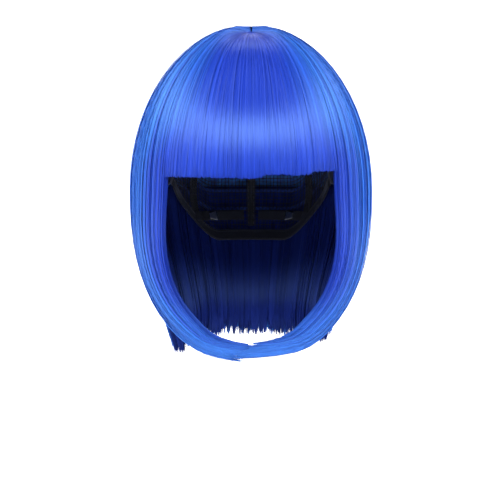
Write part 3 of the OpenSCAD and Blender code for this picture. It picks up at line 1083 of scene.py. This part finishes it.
# A darker, duller copy of the fibre with less shine: painted shade for the layers inside the wig.
painted_shade_fibre = fibre("painted shade fibre", (0.005, 0.011, 0.09), (0.008, 0.018, 0.15), shine=0.2)
print("the strand tone group has", len(strand_tone_group.nodes), "nodes")

# %% [markdown]
# ## The fringe
#
# The fringe fans out from the front of the parting and is cut blunt over the eyes. Cut by hand,
# it hangs a little lower in the middle and ends higher at the right. Under the fine strands lies
# a layer of wide ones that lets no light by. The fringe lifts at its joint, but its roots stay on
# the cap.

# %% Comb the fringe
def curtain(name, material, node, layers):
    piece = join(name, layers)
    piece.data.materials.append(material)
    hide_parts(node)
    print(name, "has", 2 * len(piece.data.polygons), "triangles")
    return piece


EDGE = 0.4
FRINGE_REACH = fringe_turn / np.pi


def blunt_cut(angle):
    degrees = np.degrees(angle)
    steps = 0.010 * smooth((degrees - 4) / 1.5) + 0.014 * smooth((degrees - 28) / 2)
    middle = 0.004 * smooth(1 - np.abs(degrees - 1) / 9)
    return steps - middle - 0.005 + 0.001 * np.sin(9 * angle) + 0.001 * np.sin(31 * angle)


fringe_hair = curtain("fringe_hair", outer_fibre, "fringe", [
    comb("fringe fine", fringe_path, 4900, 20, EDGE - FRINGE_EDGE, FRINGE_EDGE - EDGE,
         (0.0, 0.0026), 11, locks=230, width=0.0009, tip_spread=0.009, roll=0.25, early=blunt_cut,
         reach=FRINGE_REACH),
    # The wide layer is darkened a little: painted shade under the fine strands.
    comb("fringe wide", fringe_path, 220, 20, EDGE - FRINGE_EDGE, FRINGE_EDGE - EDGE,
         (0.0024, 0.005), 12, locks=60, width=0.0032, tip_spread=0.012, roll=0.1, painted_shade_shift=-0.05,
         early=blunt_cut, reach=FRINGE_REACH)])
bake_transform(fringe_hair)

# %% [markdown]
# ## The side locks
#
# Each lock hangs past the cheek, then turns forward and in, and its tips meet under the chin.
# The strands nearest the back of the left lock and the face side of the right one end early and
# unevenly, which leaves the tips ragged.

# %% Comb the side locks
def left_early(phi):
    ragged = 0.04 + 0.014 * np.sin(53 * phi)
    return ragged * smooth((-phi - np.radians(50)) / np.radians(35))


def right_early(phi):
    ragged = 0.04 + 0.022 * np.sin(47 * phi) + 0.01 * np.sin(113 * phi)
    return ragged * smooth((np.radians(80) - phi) / np.radians(30))


for sign, word in ((-1, "left"), (1, "right")):
    near, far = FRINGE_EDGE + EDGE, LOCK_EDGE - EDGE
    ends = (near, far) if sign > 0 else (-far, -near)
    early = right_early if sign > 0 else left_early
    lock_hair = curtain(f"side_lock_{word}_hair", outer_fibre, f"side_lock_{word}", [
        comb(f"lock fine {word}", lock_path, 3200, 30, *ends, (0.0, 0.0032), 21 + sign,
             locks=210, width=0.0009, tip_spread=0.05, early=early, point=0.16),
        # The wide layer is darkened a little: painted shade under the fine strands.
        comb(f"lock wide {word}", lock_path, 220, 30, *ends, (0.0028, 0.0055), 24 + sign,
             locks=60, width=0.0036, tip_spread=0.06, roll=0.2, painted_shade_shift=-0.05, early=early)])
    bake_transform(lock_hair)

# %% [markdown]
# ## The back and the under layers
#
# The back hair falls straight to the collar. Beneath it lie shorter layers, which are sewn lower
# on the cap and fill the dark space beside and behind the neck. They are the same blue fibre, but
# their material is a darker, duller copy of it, which is painted shade. None of them has a joint,
# so they ride on the cap.

# %% Comb the back and the under layers
for sign, word in ((-1, "left"), (1, "right")):
    near, far = LOCK_EDGE + EDGE, 180
    ends = (near, far) if sign > 0 else (-far, -near)
    back_hair = curtain(f"back_hair_{word}_strands", outer_fibre, f"back_hair_{word}", [
        comb(f"back fine {word}", back_path, 2700, 30, *ends, (0.0, 0.0038), 31 + sign,
             locks=170, width=0.0010, tip_spread=0.05),
        # The wide layer is darkened a little: painted shade under the fine strands.
        comb(f"back wide {word}", back_path, 170, 30, *ends, (0.0034, 0.006), 34 + sign,
             locks=50, width=0.0040, tip_spread=0.04, roll=0.2, painted_shade_shift=-0.05)])
    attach(back_hair, "cap")
    ends = (68, 111) if sign > 0 else (-111, -68)
    inner = curtain(f"inner_hair_{word}_strands", painted_shade_fibre, f"inner_hair_{word}", [
        comb(f"inner fine {word}", back_path, 900, 20, *ends, (0.0095, 0.0130), 41 + sign,
             locks=40, width=0.0011, tip_spread=0.05, start=0.37),
        comb(f"inner wide {word}", back_path, 60, 20, *ends, (0.0120, 0.0135), 44 + sign,
             locks=20, width=0.0040, tip_spread=0.05, start=0.37, roll=0.3)])
    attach(inner, "cap")

nape_layers = []
for sign, word in ((-1, "left"), (1, "right")):
    ends = (114, 180) if sign > 0 else (-180, -114)
    nape_layers.append(comb(f"nape fine {word}", back_path, 900, 16, *ends, (0.0095, 0.0130),
                            51 if sign < 0 else 52, locks=40, width=0.0011, tip_spread=0.05, start=0.5))
for sign, word in ((-1, "left"), (1, "right")):
    ends = (114, 180) if sign > 0 else (-180, -114)
    nape_layers.append(comb(f"nape wide {word}", back_path, 70, 16, *ends, (0.0120, 0.0135),
                            53 if sign < 0 else 54, locks=20, width=0.0045, tip_spread=0.05,
                            start=0.5, roll=0.3))
nape = curtain("nape_hair_strands", painted_shade_fibre, "nape_hair", nape_layers)
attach(nape, "cap")
